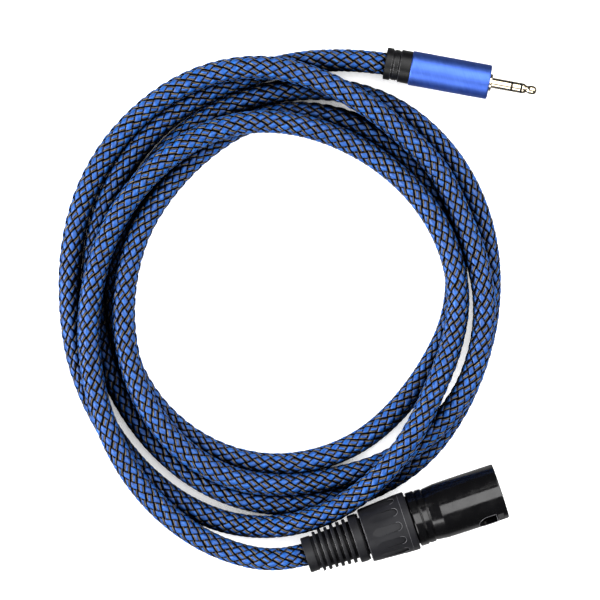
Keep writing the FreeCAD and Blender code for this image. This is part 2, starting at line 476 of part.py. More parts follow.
def tube(node, pts, radius, place=None, say=None):
    wire, at, along = tube_path(pts, say)
    ring = Part.Wire([Part.makeCircle(radius, at, along)])
    shape = wire.makePipeShell([ring], True, False)
    want = math.pi * radius * radius * wire.Length
    if abs(shape.Volume - want) > 0.01 * want:
        raise RuntimeError("%s volume %.2f, section times length %.2f" % (node, shape.Volume, want))
    obj = doc.addObject("Part::Feature", node)
    obj.Shape = shape
    if place is not None:
        obj.Placement = place
    obj.Label = node
    parts.append((node, obj))
    return obj


cr = DIM["cable_r"]
tube("cable_lead_xlr", ROUTE[:5], cr, say="lead at the three-pin end")
tube("cable_lead_plug", list(reversed(ROUTE[N - 4:])), cr, say="lead at the plug end")


def stub(node, a, b, place, radius="cable_r"):
    o = doc.addObject("Part::Cylinder", node)
    o.setExpression("Radius", "Params.%s" % radius)
    o.setExpression("Height", "%s - (%s)" % (expr(b), expr(a)))
    p = FreeCAD.Placement(V(0, 0, val(a)), FreeCAD.Rotation())
    doc.recompute()
    keep(o, place.multiply(p), node)


# the ends inside the connectors: 10 mm in from each rear face the lead's own
# tube takes over
stub("xlr_cable_end", ("boot_a", 10.0), "jacket_b", xlr_place)
stub("plug_cable_end", ("collar_a", 10.0), "stub_b", plug_place)

# cores: each from the jacket's cut end to its contact
for node, key, start in (("xlr_wire_shield", "ground_beta", 1.7), ("xlr_wire_hot", "hot_beta", 1.7), ("xlr_wire_cold", "cold_beta", 1.7)):
    a = math.radians(DIM[key])
    c, s_ = math.cos(a), math.sin(a)
    z0, z1 = DIM["jacket_b"], DIM["pin_a"]
    tube(node, [(start * c, start * s_, z0), (start * c, start * s_, z0 + 1.2),
                (DIM["pin_circle"] * c, DIM["pin_circle"] * s_, z1 - 1.0),
                (DIM["pin_circle"] * c, DIM["pin_circle"] * s_, z1 + DIM["cup_deep"])], DIM["core_r"], place=xlr_place)
for node, beta, z1, r1 in (("plug_wire_tip", 180.0, 36.4, 0.95), ("plug_wire_ring", 300.0, 39.3, 1.45), ("plug_wire_shield", 60.0, 41.0, 2.05)):
    a = math.radians(beta)
    c, s_ = math.cos(a), math.sin(a)
    z0 = DIM["stub_b"]
    tube(node, [(2.0 * c, 2.0 * s_, z0), (2.02 * c, 2.02 * s_, z0 + 3.0), (r1 * c, r1 * s_, z0 + 6.5),
                (r1 * c, r1 * s_, z1)] if node != "plug_wire_shield" else
         [(2.0 * c, 2.0 * s_, z0), (2.05 * c, 2.05 * s_, z1)], 0.5, place=plug_place)

# ---------------------------------------------------------------- coil
# The outer shape of the coil: five turns lying beside and on each other.
# Radii inside and outside, every five degrees about the coil's middle.
CEN = V(-17.28, 7.38, 0)
INNER = [48.5, 49.2, 49.9, 50.3, 50.5, 50.8, 51.1, 51.4, 51.7, 51.9, 52.2, 52.5,
         52.8, 53, 53.2, 53.3, 53.4, 53.4, 53.4, 53.4, 53.5, 53.4, 53.3, 53.3,
         53.3, 53.4, 53.7, 54.1, 54.7, 55.5, 56.3, 57.1, 57.7, 58.3, 58.4, 58.1,
         57.7, 57.2, 56.8, 56.3, 55.9, 55.5, 55.2, 55, 54.8, 54.7, 54.8, 54.9,
         55, 55.3, 55.5, 55.8, 55.7, 54.6, 53.2, 51.9, 50.7, 49.7, 48.8, 48.1,
         47.6, 47.2, 46.9, 46.6, 46.4, 46.3, 46.3, 46.4, 46.6, 46.9, 47.3, 47.8]
OUTER = [72.5, 73, 73.5, 74.3, 75.4, 77, 79, 81.1, 82.9, 83.2, 81.8, 81.1,
         81.3, 81.4, 81.2, 80.7, 80, 79, 77.8, 76.8, 76.6, 76.7, 76.9, 77,
         76.9, 76.6, 76.4, 76.2, 76, 76, 76.2, 76.4, 76.7, 77.1, 77.6, 78,
         78.5, 78.9, 79.2, 79.4, 79.5, 79.4, 79.1, 78.8, 78.3, 77.8, 77.5, 77.8,
         78.7, 79.8, 80.9, 81.4, 81.6, 81.6, 81.5, 81.2, 80.7, 80.2, 79.5, 78.8,
         78, 77.3, 76.5, 75.7, 74.9, 74.1, 73.4, 72.9, 72.5, 72.2, 72.1, 72.2]


def ring_point(r, deg, z=0.0):
    a = math.radians(deg)
    return V(CEN.x + r * math.cos(a), CEN.y + r * math.sin(a), z)


def closed_curve(radii):
    c = Part.BSplineCurve()
    c.interpolate(Points=[ring_point(r, -180 + 5 * i) for i, r in enumerate(radii)], PeriodicFlag=True)
    return Part.Wire([c.toShape()])


def flat_ring(outer, inner):
    face = Part.Face(closed_curve(outer)).cut(Part.Face(closed_curve(inner))).Faces[0]
    if not 9000.0 < face.Area < 12000.0:
        raise RuntimeError("the coil's middle is filled: %.0f" % face.Area)
    return face


base = flat_ring(OUTER, INNER)
coil = base.extrude(V(0, 0, DIM["coil_top"]))
edges = [e for e in coil.Edges if abs(e.BoundBox.ZMin - DIM["coil_top"]) < 1e-3 and abs(e.BoundBox.ZMax - DIM["coil_top"]) < 1e-3]
coil = coil.makeFillet(DIM["coil_round"], edges)
# where three strands cross, the coil swells to one strand higher
dome = Part.makeSphere(1.0)
grow = FreeCAD.Matrix()
grow.scale(V(36.0, 12.5, DIM["hump_top"] - 7.0))
dome = dome.transformGeometry(grow)
at = ring_point(64.0, -68.0, 7.0)
dome.Placement = FreeCAD.Placement(at, FreeCAD.Rotation(V(0, 0, 1), 22.0))
over = flat_ring([r - 0.6 for r in OUTER], [r + 0.6 for r in INNER]).extrude(V(0, 0, 15.0))
over.translate(V(0, 0, 6.0))
coil = coil.fuse(dome.common(over))
# the three-pin connector lies along the coil's side, half over its outer turn
side = Part.makeCylinder(DIM["nut_front_r"] + 0.45, 76.0, V(-41.0, DIM["xlr_axis_y"], DIM["xlr_axis_z"]), V(1, 0, 0))
coil = coil.cut(side)
coil_obj = doc.addObject("Part::Feature", "cable_coil")
coil_obj.Shape = coil
coil_obj.Label = "cable_coil"
parts.append(("cable_coil", coil_obj))

# ---------------------------------------------------------------- check, write
doc.recompute()
for obj in doc.Objects:
    bad = [s for s in obj.State if s in ("Invalid", "Error")]
    if bad:
        raise RuntimeError("%s is %s" % (obj.Name, bad))
os.makedirs("parts", exist_ok=True)
box = FreeCAD.BoundBox()
for node, obj in parts:
    shape = obj.Shape
    if shape.isNull() or not shape.isValid() or shape.Volume <= 0 or len(shape.Solids) != 1:
        raise RuntimeError("%s: bad shape, solids %d" % (node, 0 if shape.isNull() else len(shape.Solids)))
    box.add(shape.BoundBox)
    print("%-22s volume %9.1f  z %.2f to %.2f" % (node, shape.Volume, shape.BoundBox.ZMin, shape.BoundBox.ZMax))
for node, obj in parts:
    obj.Shape.exportStep("parts/%s.step" % node)
print("box", box)
route_length = sum((V(*ROUTE[i + 1]) - V(*ROUTE[i])).Length for i in range(N - 1))
print("points", N, "control polygon %.1f" % route_length)
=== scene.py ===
import math

import bpy
import numpy as np
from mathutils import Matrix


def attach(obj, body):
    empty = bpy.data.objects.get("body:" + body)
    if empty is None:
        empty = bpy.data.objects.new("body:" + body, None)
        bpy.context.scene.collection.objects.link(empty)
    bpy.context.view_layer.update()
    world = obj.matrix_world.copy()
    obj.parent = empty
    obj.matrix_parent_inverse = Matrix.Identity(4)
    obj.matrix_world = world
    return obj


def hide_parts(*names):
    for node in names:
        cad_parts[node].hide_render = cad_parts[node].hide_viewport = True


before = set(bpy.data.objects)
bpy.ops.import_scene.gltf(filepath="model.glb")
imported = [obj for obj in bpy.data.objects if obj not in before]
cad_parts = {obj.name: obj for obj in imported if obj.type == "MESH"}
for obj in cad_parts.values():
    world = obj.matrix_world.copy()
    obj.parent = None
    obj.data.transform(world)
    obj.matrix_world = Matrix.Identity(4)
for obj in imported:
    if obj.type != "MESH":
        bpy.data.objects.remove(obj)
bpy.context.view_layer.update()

scene = bpy.context.scene
scene.view_settings.view_transform = "Standard"
scene.view_settings.look = "None"
MM = 0.001

# ------------------------------------------------------------------ camera
# Straight down on the coil with a long lens, turned so that the round
# connector points to the right and a little up.
TURN = math.radians(-18.40)
RIGHT = (math.cos(TURN), math.sin(TURN))
UP = (-math.sin(TURN), math.cos(TURN))
AIM = (-8.94 * MM, 3.53 * MM)
SPAN = 202.8 * MM  # width of the frame at the height of the cord
HEIGHT = 1.60

cam_data = bpy.data.cameras.new("camera")
cam = bpy.data.objects.new("camera", cam_data)
scene.collection.objects.link(cam)
cam_data.sensor_width = 36.0
cam_data.lens = 36.0 * (HEIGHT - 0.008) / SPAN
cam_data.clip_start = 0.05
cam_data.clip_end = 20.0
cam.location = (AIM[0], AIM[1], HEIGHT)
cam.rotation_euler = (0.0, 0.0, TURN)
scene.camera = cam


def link(obj):
    scene.collection.objects.link(obj)
    return obj


# ------------------------------------------------------------------ cord route
# Control points from the round connector to the small plug, in mm.
ROUTE = [
    (-24.4, -78.9, 10.1), (-35.5, -78.9, 10.1), (-49.1, -76, 8.9), (-63.3, -66.1, 7.2),
    (-73.9, -52.8, 8), (-81, -37.3, 9.6), (-84.4, -20.7, 10.2), (-84.5, -3.7, 9.8),
    (-81.3, 12.9, 9.4), (-75, 28.7, 10.3), (-65.6, 42.8, 9.5), (-53.3, 54.5, 10),
    (-38.6, 62.9, 10), (-22.1, 67.4, 9.5), (-5.2, 66.3, 10.2), (10.6, 59.6, 9.3),
    (24.1, 49, 6.5), (34.5, 36.2, 6.7), (41.9, 20.7, 9.2), (44.8, 3.9, 10),
    (42.6, -13, 10.1), (34.6, -28, 9.8), (23.4, -40.9, 13.4), (11.6, -52.8, 15.1),
    (-2.7, -62.1, 14.3), (-18.8, -67.7, 10.8), (-35.7, -68.2, 8), (-52.2, -63.2, 4.3),
    (-65.7, -53.2, 3.5), (-76.1, -39.6, 3.6), (-83, -24.1, 3.5), (-86.6, -7.5, 3.5),
    (-87, 9.6, 3.5), (-83.7, 26.2, 3.5), (-78.2, 42.2, 3.5), (-69.8, 57, 3.5),
    (-58.3, 69.5, 3.5), (-44.2, 78.8, 4), (-28.2, 84.6, 6.7), (-11.2, 86, 9),
    (5.4, 82.3, 10.2), (19.8, 73.3, 9.8), (31.9, 61, 10.2), (41.2, 47.4, 8.7),
    (49.5, 31.8, 7.3), (51.5, 15.6, 7.6), (52.4, -1.8, 9), (50.1, -18.1, 10),
    (42.5, -33.8, 10.1), (31.2, -46.3, 10.1), (16.2, -54.4, 9.3), (-0.4, -58.4, 7.4),
    (-17.7, -57.6, 3.9), (-34.1, -54.6, 5.4), (-49.4, -47.3, 7.2), (-61.3, -34.8, 8.4),
    (-68.5, -19.4, 9.8), (-70.7, -2.5, 10.1), (-68.4, 14.3, 9.9), (-62.2, 30.1, 9),
    (-52.4, 44.1, 7.6), (-39.1, 54.7, 4.4), (-24.2, 62.4, 3.5), (-7.6, 66.9, 3.6),
    (9.3, 65, 3.5), (24.7, 57.3, 3.5), (36.7, 45.2, 3.5), (44.2, 29.9, 3.5),
    (46.8, 13.1, 3.5), (45.1, -3.8, 3.5), (38, -19.5, 3.5), (26.2, -31.7, 3.5),
    (12.3, -41.6, 3.5), (-3.2, -48.5, 3.5), (-20.2, -50.1, 3.5), (-36.9, -46.6, 3.5),
    (-51.4, -37.8, 3.5), (-62.6, -24.8, 3.5), (-69.3, -9.2, 3.5), (-71, 7.7, 3.5),
    (-68.4, 24.5, 3.5), (-61.9, 40.2, 3.5), (-51.9, 54, 3.5), (-38.7, 64.6, 3.5),
    (-23, 71.4, 3.5), (-6.3, 74.1, 3.5), (10.7, 72.6, 3.5), (26.8, 67, 3.5),
    (40.9, 56.9, 3.5), (50.9, 43, 3.5), (56.8, 26.9, 3.5), (58.3, 9.9, 3.5),
    (55.7, -6.8, 3.5), (49.6, -22.7, 3.5), (40.5, -36.9, 3.5), (29, -49.5, 3.5),
    (15.2, -59.3, 3.5), (-1.1, -64.5, 3.5), (-18, -65.1, 3.5), (-34.7, -61.6, 3.5),
    (-49.9, -53.9, 3.5), (-62.2, -42.1, 3.5), (-70.9, -27.6, 3.5), (-76.2, -11.4, 3.5),
    (-78.1, 5.4, 3.5), (-76.5, 22.3, 3.5), (-71.4, 38.5, 3.5), (-62.9, 53.2, 3.5),
    (-51.2, 65.5, 3.5), (-36.8, 74.7, 3.5), (-20.7, 79.9, 3.5), (-3.8, 81.4, 3.6),
    (13.3, 80.8, 3.6), (29.7, 76.6, 4.4), (44.14, 70.26, 5.85), (52.46, 65.68, 5.85),
]

route_data = bpy.data.curves.new("cord_route", "CURVE")
route_data.dimensions = "3D"
route_data.resolution_u = 48
spline = route_data.splines.new("NURBS")
spline.points.add(len(ROUTE) - 1)
for point, (x, y, z) in zip(spline.points, ROUTE):
    point.co = (x * MM, y * MM, z * MM, 1.0)
spline.order_u = 3
spline.use_endpoint_u = True
spline.resolution_u = 48
route_obj = link(bpy.data.objects.new("cord_route", route_data))
bpy.context.view_layer.update()
line_mesh = bpy.data.meshes.new_from_object(
    route_obj.evaluated_get(bpy.context.evaluated_depsgraph_get())
)
LINE = np.empty(len(line_mesh.vertices) * 3)
line_mesh.vertices.foreach_get("co", LINE)
LINE = LINE.reshape(-1, 3)
bpy.data.meshes.remove(line_mesh)
bpy.data.objects.remove(route_obj)
bpy.data.curves.remove(route_data)

STEPS = np.linalg.norm(np.diff(LINE, axis=0), axis=1)
keep = np.concatenate([[True], STEPS > 1e-7])
LINE = LINE[keep]
ALONG = np.concatenate([[0.0], np.cumsum(np.linalg.norm(np.diff(LINE, axis=0), axis=1))])
TOTAL = ALONG[-1]

# frames carried along the line without twist, started with their up arrow at +Z
TANGENT = np.gradient(LINE, ALONG, axis=0)
TANGENT /= np.linalg.norm(TANGENT, axis=1)[:, None]
UPWARD = np.zeros_like(LINE)
start = np.array([0.0, 0.0, 1.0])
start -= TANGENT[0] * start.dot(TANGENT[0])
UPWARD[0] = start / np.linalg.norm(start)
for k in range(len(LINE) - 1):
    v1 = LINE[k + 1] - LINE[k]
    c1 = v1.dot(v1)
    ul = UPWARD[k] - v1 * (2.0 / c1 * v1.dot(UPWARD[k]))
    tl = TANGENT[k] - v1 * (2.0 / c1 * v1.dot(TANGENT[k]))
    v2 = TANGENT[k + 1] - tl
    c2 = v2.dot(v2)
    new = ul - v2 * (2.0 / c2 * v2.dot(ul)) if c2 > 1e-18 else ul
    new -= TANGENT[k + 1] * new.dot(TANGENT[k + 1])
    UPWARD[k + 1] = new / np.linalg.norm(new)
LEFT = np.cross(UPWARD, TANGENT)

# where another run of the cord lies against this one, both are pressed flat
# there: one plane halfway between the two, for up to three neighbours
RADIUS = 3.9 * MM
PLANES = 3
PLANE_N = np.zeros((PLANES, len(LINE), 3))
PLANE_H = np.full((PLANES, len(LINE)), 1.0)
for k in range(0, len(LINE)):
    gap = np.linalg.norm(LINE - LINE[k], axis=1)
    near = np.flatnonzero((gap < 2 * RADIUS) & (np.abs(ALONG - ALONG[k]) > 15 * MM))
    slot_at = 0
    while len(near) and slot_at < PLANES:
        best = near[np.argmin(gap[near])]
        PLANE_N[slot_at, k] = (LINE[best] - LINE[k]) / gap[best]
        PLANE_H[slot_at, k] = gap[best] / 2
        near = near[np.abs(ALONG[near] - ALONG[best]) > 15 * MM]
        slot_at += 1


def on_line(values, s):
    return np.stack([np.interp(s, ALONG, values[:, i]) for i in range(3)], axis=-1)


def cord_points(s, angle, radius):
    """Points at distance s along the cord, at an angle from its up arrow
    towards its left, radius away from its middle; pressed against the floor
    and the neighbouring runs."""
    centre = on_line(LINE, s)
    up = on_line(UPWARD, s)
    left = on_line(LEFT, s)
    offset = radius[..., None] * (
        np.cos(angle)[..., None] * up + np.sin(angle)[..., None] * left
    )
    index = np.clip(np.searchsorted(ALONG, s), 0, len(ALONG) - 1)
    for n, h in zip(PLANE_N, PLANE_H):
        normal, reach = n[index], h[index]
        over = (offset * normal).sum(-1) - reach
        squash = np.where(over > 0, over * 0.97, 0.0)
        offset = offset - normal * squash[..., None]
    points = centre + offset
    low = points[..., 2] < 0.03 * MM
    points[..., 2] = np.where(low, 0.03 * MM + (points[..., 2] - 0.03 * MM) * 0.02, points[..., 2])
    return points


# ------------------------------------------------------------------ node helpers
def linear(r, g, b):
    """Colour from 0 to 255 as a screen shows it."""
    out = []
    for c in (r, g, b):
        c = c / 255.0
        out.append(c / 12.92 if c <= 0.04045 else ((c + 0.055) / 1.055) ** 2.4)
    return (*out, 1.0)


class Shader:
    def __init__(self, name):
        self.m = bpy.data.materials.new(name)
        self.m.use_nodes = True
        self.nt = self.m.node_tree
        self.nt.nodes.clear()
        self.out = self.nt.nodes.new("ShaderNodeOutputMaterial")
        self.bsdf = self.nt.nodes.new("ShaderNodeBsdfPrincipled")
        self.nt.links.new(self.bsdf.outputs[0], self.out.inputs[0])

    def node(self, kind, **props):
        n = self.nt.nodes.new(kind)
        for k, v in props.items():
            setattr(n, k, v)
        return n

    def join(self, a, b):
        self.nt.links.new(a, b)

    def set(self, **values):
        for k, v in values.items():
            self.bsdf.inputs[k.replace("_", " ")].default_value = v

    def coords(self, scale=(1, 1, 1), rotation=(0, 0, 0), uv=None, location=(0, 0, 0)):
        mapping = self.node("ShaderNodeMapping")
        mapping.inputs["Scale"].default_value = scale
        mapping.inputs["Rotation"].default_value = rotation
        mapping.inputs["Location"].default_value = location
        if uv:
            source = self.node("ShaderNodeUVMap", uv_map=uv).outputs[0]
        else:
            source = self.node("ShaderNodeTexCoord").outputs["Object"]
        self.join(source, mapping.inputs[0])
        return mapping.outputs[0]

    def noise(self, vector, scale, detail=3.0, rough=0.55, distortion=0.0):
        n = self.node("ShaderNodeTexNoise")
        n.inputs["Scale"].default_value = scale
        n.inputs["Detail"].default_value = detail
        n.inputs["Roughness"].default_value = rough
        n.inputs["Distortion"].default_value = distortion
        self.join(vector, n.inputs["Vector"])
        return n.outputs["Fac"]

    def remap(self, value, a, b, c, d):
        n = self.node("ShaderNodeMapRange")
        for i, v in enumerate((a, b, c, d), start=1):
            n.inputs[i].default_value = v
        self.join(value, n.inputs[0])
        return n.outputs[0]

    def ramp(self, value, stops):
        n = self.node("ShaderNodeValToRGB")
        elements = n.color_ramp.elements
        while len(elements) < len(stops):
            elements.new(0.5)
        for e, (pos, col) in zip(elements, stops):
            e.position = pos
            e.color = col
        self.join(value, n.inputs[0])
        return n.outputs[0]

    def bump(self, height, distance, strength=1.0, normal=None):
        n = self.node("ShaderNodeBump")
        n.inputs["Strength"].default_value = strength
        n.inputs["Distance"].default_value = distance
        self.join(height, n.inputs["Height"])
        if normal is not None:
            self.join(normal, n.inputs["Normal"])
        return n.outputs[0]

    def edges(self, radius):
        n = self.node("ShaderNodeBevel", samples=4)
        n.inputs["Radius"].default_value = radius
        return n.outputs[0]

    # AO, used to paint shade into colours, gloss and the floor's glow
    def painted_shade_occlusion(self, distance):
        n = self.node("ShaderNodeAmbientOcclusion", samples=6)
        n.inputs["Distance"].default_value = distance
        return n.outputs["AO"]

    # painted shade: mixes a colour towards a dark one where the light factor is low
    def shade(self, colour, light, deep):
        n = self.node("ShaderNodeMix", data_type="RGBA")
        self.join(light, n.inputs[0])
        n.inputs[6].default_value = deep
        self.join(colour, n.inputs[7])
        return n.outputs[2]

    def math(self, op, a, b=None):
        n = self.node("ShaderNodeMath", operation=op)
        for i, v in enumerate((a, b)):
            if v is None:
                continue
            if isinstance(v, (int, float)):
                n.inputs[i].default_value = v
            else:
                self.join(v, n.inputs[i])
        return n.outputs[0]


def yarn_material(name, dark, mid, light, rough, sheen, shine, tint=(1, 1, 1, 1)):
    """Multifilament yarn. Its UV map runs across and along the yarn in mm."""
    s = Shader(name)
    uv = s.coords(scale=(1, 1, 1), uv="yarn")
    fibres = s.noise(s.coords(scale=(9.0, 0.55, 1), uv="yarn"), 1.0, 2.0, 0.6)
    broad = s.noise(s.coords(scale=(0.9, 0.45, 1), uv="yarn"), 1.0, 2.0, 0.5)
    tone = s.math("ADD", s.math("MULTIPLY", fibres, 0.55), s.math("MULTIPLY", broad, 0.45))
    colour = s.ramp(tone, [(0.30, dark), (0.52, mid), (0.74, light)])
    # painted shade: deep between the yarns and between the strands an AO node darkens the base colour and lowers the
    # sheen and gloss
    painted_light_level = s.remap(s.painted_shade_occlusion(10.0 * MM), 0.46, 0.94, 0.0, 1.0)
    s.join(s.shade(colour, painted_light_level, (0.001, 0.001, 0.0015, 1)), s.bsdf.inputs["Base Color"])
    s.join(s.remap(fibres, 0.3, 0.7, rough - 0.08, rough + 0.1), s.bsdf.inputs["Roughness"])
    s.join(s.bump(fibres, 0.05 * MM, 0.7), s.bsdf.inputs["Normal"])
    s.join(s.math("MULTIPLY", painted_light_level, sheen), s.bsdf.inputs["Sheen Weight"])
    s.join(s.math("MULTIPLY", painted_light_level, shine), s.bsdf.inputs["Specular IOR Level"])
    s.set(Sheen_Roughness=0.30)
    s.set(Sheen_Tint=tint)
    return s.m


YARN_BLUE = yarn_material(
    "yarn_blue", linear(4, 40, 94), linear(10, 73, 150), linear(32, 120, 207), 0.36, 0.35, 0.45,
    (0.50, 0.78, 1.0, 1.0),
)
YARN_OLIVE = yarn_material(
    "yarn_olive", linear(48, 43, 35), linear(96, 86, 70), linear(168, 152, 126), 0.45, 0.25, 0.35
)
# near black: the core, and painted shade on the yarns where they dive under and along their edges
DARK_CORE_AND_PAINTED_SHADE = yarn_material(
    "dark_core_and_painted_shade", linear(2, 2, 3), linear(5, 4, 5), linear(10, 9, 10), 0.8, 0.0, 0.05
)

# ------------------------------------------------------------------ braid
# Sixteen flat yarns, eight each way round, one over and one under. In the
# coordinates a = c - k*s and b = c + k*s on the unrolled sleeve (c round it, s
# along it) the first eight lie at fixed a and the others at fixed b.
PITCH = 2.75  # mm round the sleeve from one yarn to the next
ROUND = 8 * PITCH
PERIOD = 4.2  # mm along it from one over-and-under to the next
K = PITCH / PERIOD
MID = 3.46  # mm, mean radius of the yarns
WAVE = 0.24  # mm up and down from it
RINGS = 10  # per over-and-under
S_MM = TOTAL / MM


def twist(s_mm):
    """Slow wander of the sleeve round the cord, in radians."""
    return 0.30 * np.sin(s_mm / 61.0 + 0.6) + 0.22 * np.sin(s_mm / 143.0 + 2.1)


def weave(phase):
    return np.tanh(1.55 * np.cos(phase)) / math.tanh(1.55)


# across the yarn: place from -1 to 1, height in mm, and material of the strip
# up to the next place (0 blue, 1 olive, 2 dark: painted shade along the yarns' edges)
WIDE_HALF = 1.32  # mm, half the a-width of a blue yarn with its thin olive edge
WIDE = [
    (-1.00, -0.23, 1), (-0.81, -0.06, 2), (-0.75, 0.04, 0), (-0.58, 0.17, 0), (-0.20, 0.215, 0),
    (0.20, 0.215, 0), (0.58, 0.17, 0), (0.75, 0.04, 2), (0.81, -0.06, 1), (1.00, -0.23, None),
]
SLIM_HALF = 1.16  # mm, the same of a yarn with olive, blue and olive strands
SLIM = [
    (-1.00, -0.35, 2), (-0.78, -0.11, 1), (-0.48, 0.05, 2), (-0.36, 0.13, 0), (-0.14, 0.20, 0),
    (0.14, 0.20, 0), (0.36, 0.13, 2), (0.48, 0.05, 1), (0.78, -0.11, 2), (1.00, -0.35, None),
]


def braid(name, family, members):
    """One mesh with some of the yarns of one way round."""
    profile, half = (WIDE, WIDE_HALF) if family == "wide" else (SLIM, SLIM_HALF)
    place = np.array([p[0] for p in profile]) * half
    height = np.array([p[1] for p in profile])
    strips = [p[2] for p in profile[:-1]]
    n = len(profile)
    count = int(S_MM / (PERIOD / RINGS)) + 1
    s0 = np.arange(count) * (PERIOD / RINGS)
    phase = 2 * math.pi * s0 / PERIOD
    lift = weave(phase) * WAVE + 0.03 if family == "wide" else -weave(phase) * WAVE - 0.03
    verts, faces, mats, uvs = [], [], [], []
    for at, i in enumerate(members):
        # no yarn lies quite straight or is of quite the same width all along
        turn = 2.1 * i + (0.0 if family == "wide" else 1.3)
        off = 0.09 * np.sin(s0 / 7.3 + turn) + 0.07 * np.sin(s0 / 2.7 + 2.3 * turn)
        wide = 1.0 + 0.05 * np.sin(s0 / 4.9 + 3.7 * turn) + 0.03 * np.sin(s0 / 1.9 + 1.7 * turn)
        lies = PITCH * i + off[:, None] + place[None, :] * wide[:, None]
        if family == "wide":
            a = lies
            b = PITCH * i + 2 * K * s0[:, None] + 0 * place[None, :]
        else:
            b = lies
            a = PITCH * i - 2 * K * s0[:, None] + 0 * place[None, :]
        c = (a + b) / 2
        s = (b - a) / (2 * K)
        s = np.clip(s, 0.0, S_MM)
        angle = 2 * math.pi * c / ROUND + twist(s)
        radius = (MID + lift[:, None] + height[None, :]) * MM
        p = cord_points(s * MM, angle, radius).reshape(-1, 3)
        base = at * count * n
        verts.append(p)
        k = np.arange(count - 1)[:, None]
        j = np.arange(n - 1)[None, :]
        top = np.stack(
            [base + k * n + j, base + k * n + j + 1, base + (k + 1) * n + j + 1, base + (k + 1) * n + j],
            axis=-1,
        ).reshape(-1, 4)
        kk = np.arange(count - 1)
        under = np.stack(
            [base + kk * n + n - 1, base + kk * n, base + (kk + 1) * n, base + (kk + 1) * n + n - 1],
            axis=-1,
        )
        middle = np.cos(math.pi * (s0[1:] + s0[:-1]) / PERIOD)
        up = (middle if family == "wide" else -middle)[:, None]
        strip = np.array(strips)[None, :] + 0 * kk[:, None]
        # blue on the crests, the slim yarns' olive a little further down; below that, where the yarn dives under, the
        # dark material paints shade over the yarn's own colour
        keeps_yarn_colour = np.where((strip == 0) | (family == "wide"), up > 0.3, up > -0.3)
        mat = np.where(keeps_yarn_colour, strip, 2).reshape(-1)
        # across and along, in mm, at each corner of the top faces
        across = place[None, :] + 0 * s0[:, None] + 7.0 * i
        along = s0[:, None] * 1.21 + 0 * place[None, :] + (0 if family == "wide" else 3.3)
        grid = np.stack([across, along], axis=-1).reshape(-1, 2)
        local_top = top - base
        local_under = under - base
        # the undersides take the dark material too: painted shade
        faces += [top, under]
        mats += [mat, np.full(len(under), 2)]
        uvs += [grid[local_top.reshape(-1)], grid[local_under.reshape(-1)]]
    verts = np.concatenate(verts)
    faces = np.concatenate(faces)
    mats = np.concatenate(mats)
    uvs = np.concatenate(uvs)
    me = bpy.data.meshes.new(name)
    me.vertices.add(len(verts))
    me.vertices.foreach_set("co", verts.astype(np.float32).ravel())
    me.loops.add(len(faces) * 4)
    me.loops.foreach_set("vertex_index", faces.astype(np.int32).ravel())
    me.polygons.add(len(faces))
    me.polygons.foreach_set("loop_start", np.arange(len(faces), dtype=np.int32) * 4)
    me.polygons.foreach_set("loop_total", np.full(len(faces), 4, dtype=np.int32))
    for m in (YARN_BLUE, YARN_OLIVE, DARK_CORE_AND_PAINTED_SHADE):
        me.materials.append(m)
    me.polygons.foreach_set("material_index", mats.astype(np.int32))
    layer = me.uv_layers.new(name="yarn")
    layer.data.foreach_set("uv", uvs.astype(np.float32).ravel())
    me.update(calc_edges=True)
    me.validate()
    me.polygons.foreach_set("use_smooth", np.ones(len(me.polygons), dtype=bool))
    obj = link(bpy.data.objects.new(name, me))
    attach(obj, "cable")
    return obj


def tube_mesh(name, points_s, radius, sides):
    """The dark core that fills the sleeve."""
    angle = np.arange(sides) * 2 * math.pi / sides
    s = points_s[:, None] + 0 * angle[None, :]
    p = cord_points(s, angle[None, :] + 0 * s, np.full(s.shape, radius)).reshape(-1, 3)
    rows = len(points_s)
    faces = []
    for k in range(rows - 1):
        for j in range(sides):
            j2 = (j + 1) % sides
            faces.append((k * sides + j, k * sides + j2, (k + 1) * sides + j2, (k + 1) * sides + j))
    faces.append(tuple(range(sides - 1, -1, -1)))
    faces.append(tuple((rows - 1) * sides + j for j in range(sides)))
    me = bpy.data.meshes.new(name)
    me.from_pydata(p.tolist(), [], faces)
    layer = me.uv_layers.new(name="yarn")
    uv = np.zeros((len(me.loops), 2), dtype=np.float32)
    index = np.empty(len(me.loops), dtype=np.int32)
    me.loops.foreach_get("vertex_index", index)
    uv[:, 0] = (index % sides) * 1.1
    uv[:, 1] = points_s[index // sides] / MM
    layer.data.foreach_set("uv", uv.ravel())
    me.materials.append(DARK_CORE_AND_PAINTED_SHADE)
    me.polygons.foreach_set("use_smooth", np.ones(len(me.polygons), dtype=bool))
    me.update()
    obj = link(bpy.data.objects.new(name, me))
    return obj


core = tube_mesh("cord_core", ALONG[::4] if (len(ALONG) - 1) % 4 == 0 else np.append(ALONG[::4], TOTAL), 3.12 * MM, 14)
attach(core, "cable")
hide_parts("cable_coil", "cable_lead_xlr", "cable_lead_plug")

yarns = []
for n in range(4):
    yarns.append(braid(f"braid_wide_{n + 1}", "wide", [2 * n, 2 * n + 1]))
    yarns.append(braid(f"braid_slim_{n + 1}", "slim", [2 * n, 2 * n + 1]))
for obj in yarns:
    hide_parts("cable_coil", "cable_lead_xlr", "cable_lead_plug")

# ------------------------------------------------------------------ materials of the solids


